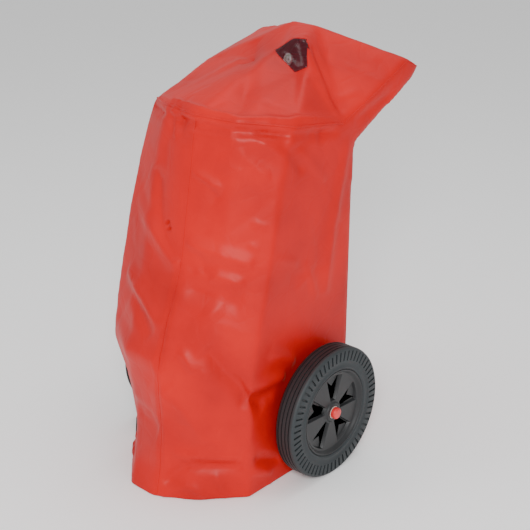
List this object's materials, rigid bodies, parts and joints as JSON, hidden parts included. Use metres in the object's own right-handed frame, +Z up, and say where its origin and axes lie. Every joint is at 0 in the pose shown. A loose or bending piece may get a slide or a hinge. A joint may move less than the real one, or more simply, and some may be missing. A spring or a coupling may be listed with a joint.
{
  "type": "covered wheeled fire extinguisher",
  "caption": "Wheeled fire extinguisher on a trolley under a fitted weather cover with a clear gauge window; cover lifts off, wheels roll, lever and pin work.",
  "frame": {"origin": "on the floor under the middle of the wheel axle, which is also the centre of the footprint", "axes": "+Z up, -Y towards the front of the cover, +Y towards the handle, X along the axle"},
  "size_m": [0.532, 0.678, 0.9409],
  "materials": {
    "red_enamel": "gloss",
    "neck_steel": "satin",
    "frame_coat": "satin",
    "strap_steel": "satin",
    "zinc_steel": "satin",
    "brass": "satin",
    "siphon_plastic": "matt",
    "lever_coat": "satin",
    "gauge_case": "gloss",
    "gauge_face": "matt",
    "gauge_pointer": "matt",
    "gauge_glass": "gloss",
    "black_rubber": "matt",
    "black_plastic": "satin",
    "tyre_rubber": "matt",
    "bush_nylon": "matt",
    "red_cap": "gloss",
    "cover_pvc": "satin",
    "clear_pvc": "gloss"
  },
  "bodies": {
    "trolley": {"cylinder": "red_enamel", "foot_ring": "red_enamel", "neck_ring": "neck_steel", "left_rail": "frame_coat", "right_rail": "frame_coat", "left_handle_arm": "frame_coat", "right_handle_arm": "frame_coat", "handle_crossbar": "frame_coat", "lower_cross_plate": "frame_coat", "upper_cross_plate": "frame_coat", "base_plate": "frame_coat", "left_front_leg": "frame_coat", "right_front_leg": "frame_coat", "left_axle_bracket": "frame_coat", "right_axle_bracket": "frame_coat", "lower_strap": "strap_steel", "upper_strap": "strap_steel", "axle": "zinc_steel", "axle_spacers": "zinc_steel", "axle_washers": "zinc_steel", "strap_bolts": "zinc_steel", "handle_spigots": "zinc_steel", "lever_pin": "zinc_steel", "riser_pipe": "brass", "valve_head": "brass", "hose_outlet": "brass", "siphon_tube": "siphon_plastic", "valve_grip": "lever_coat", "gauge_case": "gauge_case", "gauge_dial": "gauge_face", "gauge_lens": "gauge_glass", "handle_grip": "black_rubber", "rubber_feet": "black_rubber", "bar_end_caps": "black_plastic", "left_axle_cap": "red_cap", "right_axle_cap": "red_cap"},
    "cover": {"cover_left_front": "cover_pvc", "cover_right_front": "cover_pvc", "cover_left_side": "cover_pvc", "cover_right_side": "cover_pvc", "cover_rear": "cover_pvc", "cover_underside": "cover_pvc", "hood_front": "cover_pvc", "hood_back": "cover_pvc", "gauge_window": "clear_pvc"},
    "left_wheel": {"left_tyre": "tyre_rubber", "left_hub": "black_plastic", "left_bush": "bush_nylon"},
    "right_wheel": {"right_tyre": "tyre_rubber", "right_hub": "black_plastic", "right_bush": "bush_nylon"},
    "operating_lever": {"operating_lever": "lever_coat"},
    "valve_plunger": {"valve_plunger": "zinc_steel"},
    "safety_pin": {"safety_pin": "zinc_steel"},
    "gauge_needle": {"gauge_needle": "gauge_pointer"}
  },
  "joints": [
    {"name": "cover_lift", "type": "slide", "parent": "trolley", "child": "cover", "axis": [0, 0, 1], "range_m": [0, 1.05], "deforming": ["cover_rear", "cover_underside"]},
    {"name": "left_wheel_spin", "type": "hinge", "parent": "trolley", "child": "left_wheel", "pos_m": [-0.235, 0, 0.15], "axis": [1, 0, 0], "continuous": true},
    {"name": "right_wheel_spin", "type": "hinge", "parent": "trolley", "child": "right_wheel", "pos_m": [0.235, 0, 0.15], "axis": [1, 0, 0], "continuous": true},
    {"name": "lever_press", "type": "hinge", "parent": "trolley", "child": "operating_lever", "pos_m": [0.006, 0.05729, 0.86894], "axis": [-1, 0, 0], "range_deg": [0, 8], "stiffness_Nm_per_rad": 1, "springref_deg": -11.46},
    {"name": "plunger_push", "type": "slide", "parent": "trolley", "child": "valve_plunger", "axis": [0, -0.1736, -0.9848], "range_m": [0, 0.0027]},
    {"name": "safety_pin_pull", "type": "slide", "parent": "trolley", "child": "safety_pin", "axis": [-1, 0, 0], "range_m": [0, 0.06]},
    {"name": "needle_turn", "type": "hinge", "parent": "trolley", "child": "gauge_needle", "pos_m": [0.038, 0.09245, 0.88406], "axis": [0, 0.9848, -0.1736], "range_deg": [-100, 60], "stiffness_Nm_per_rad": 0.002}
  ],
  "couplings": [
    {"joint": "plunger_push", "follows": "lever_press", "m_per_rad": 0.018}
  ]
}
